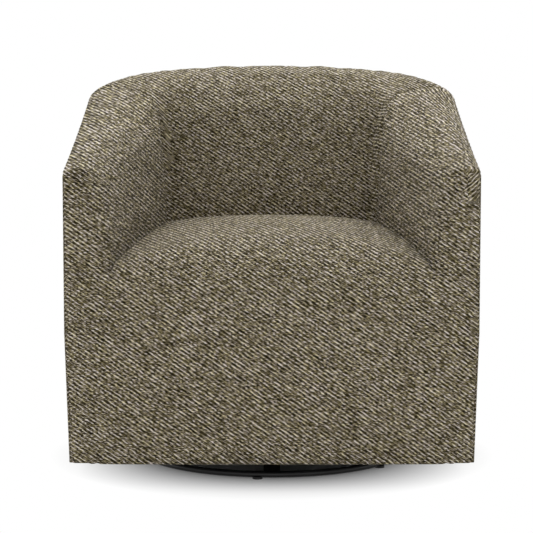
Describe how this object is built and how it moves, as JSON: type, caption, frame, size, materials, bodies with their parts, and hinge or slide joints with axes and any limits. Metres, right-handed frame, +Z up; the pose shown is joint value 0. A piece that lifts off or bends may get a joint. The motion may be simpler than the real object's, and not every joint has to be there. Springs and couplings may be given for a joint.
{
  "type": "swivel rocker armchair",
  "caption": "Barrel armchair, fully upholstered in tweed twill, with a sloping top line and a crowned seat, on a low ring base that swivels and rocks",
  "frame": {"origin": "on the floor under the swivel axis, the middle of the chair's plan", "axes": "+Z up, the chair faces -Y, +X is to the right for someone who looks at its front"},
  "size_m": [0.79, 0.79, 0.8007],
  "materials": {
    "black_steel": "black semi-gloss powder coat",
    "glide_plastic": "black nylon",
    "mechanism_steel": "black painted steel",
    "ball_steel": "polished steel",
    "bush_plastic": "natural nylon",
    "plated_steel": "zinc plated",
    "spring_steel": "oil-blackened wire",
    "cover_fabric": "tweed twill weave, olive grey with light stitches",
    "fibreboard": "bare fibreboard",
    "dust_fabric": "black spunbond sheet",
    "felt": "grey needled felt",
    "webbing": "woven jute and elastic",
    "hardwood": "planed, unfinished"
  },
  "bodies": {
    "floor_base": {"base_ring": "black_steel", "cross_arms": "black_steel", "floor_glides": "glide_plastic", "hub_plate": "mechanism_steel", "lower_race": "mechanism_steel", "king_pin": "plated_steel"},
    "turntable": {"bearing_balls": "ball_steel", "ball_cage": "bush_plastic", "upper_race": "mechanism_steel", "turntable_plate": "mechanism_steel", "pin_bush": "bush_plastic", "axle_stand": "mechanism_steel", "rock_axle": "plated_steel", "axle_clips": "plated_steel", "lower_spring_cups": "mechanism_steel", "rocker_spring_front_left": "spring_steel", "rocker_spring_front_right": "spring_steel", "rocker_spring_rear_left": "spring_steel", "rocker_spring_rear_right": "spring_steel"},
    "chair": {"arm_pad_left": "cover_fabric", "arm_pad_right": "cover_fabric", "arm_top_rail_left": "hardwood", "arm_top_rail_right": "hardwood", "back_pad": "cover_fabric", "back_top_rail": "hardwood", "back_webbing": "webbing", "bottom_corner_rail_left": "hardwood", "bottom_corner_rail_right": "hardwood", "bottom_rail_front": "hardwood", "bottom_rail_left": "hardwood", "bottom_rail_rear": "hardwood", "bottom_rail_right": "hardwood", "deck_felt": "felt", "deck_springs": "spring_steel", "dust_cover": "dust_fabric", "frame_bolts": "plated_steel", "frame_nuts": "plated_steel", "front_panel": "cover_fabric", "front_post_left": "hardwood", "front_post_right": "hardwood", "mechanism_rail_left": "hardwood", "mechanism_rail_right": "hardwood", "outside_cover": "cover_fabric", "outside_panel": "fibreboard", "rear_post_left": "hardwood", "rear_post_right": "hardwood", "rocker_bushes": "bush_plastic", "rocker_ear_left": "mechanism_steel", "rocker_ear_right": "mechanism_steel", "rocker_plate": "mechanism_steel", "seat_pad": "cover_fabric", "seat_rail_front": "hardwood", "seat_rail_left": "hardwood", "seat_rail_rear": "hardwood", "seat_rail_right": "hardwood", "spring_clips": "spring_steel", "top_corner_rail_left": "hardwood", "top_corner_rail_right": "hardwood", "upper_spring_cups": "mechanism_steel"}
  },
  "joints": [
    {"name": "swivel", "type": "hinge", "parent": "floor_base", "child": "turntable", "pos_m": [0, 0, 0], "axis": [0, 0, 1], "continuous": true},
    {"name": "rock", "type": "hinge", "parent": "turntable", "child": "chair", "pos_m": [0, 0, 0.103], "axis": [1, 0, 0], "range_deg": [-5, 5], "stiffness_Nm_per_rad": 900, "springref_deg": -0.41, "deforming": ["rocker_spring_front_left", "rocker_spring_front_right", "rocker_spring_rear_left", "rocker_spring_rear_right"]}
  ]
}
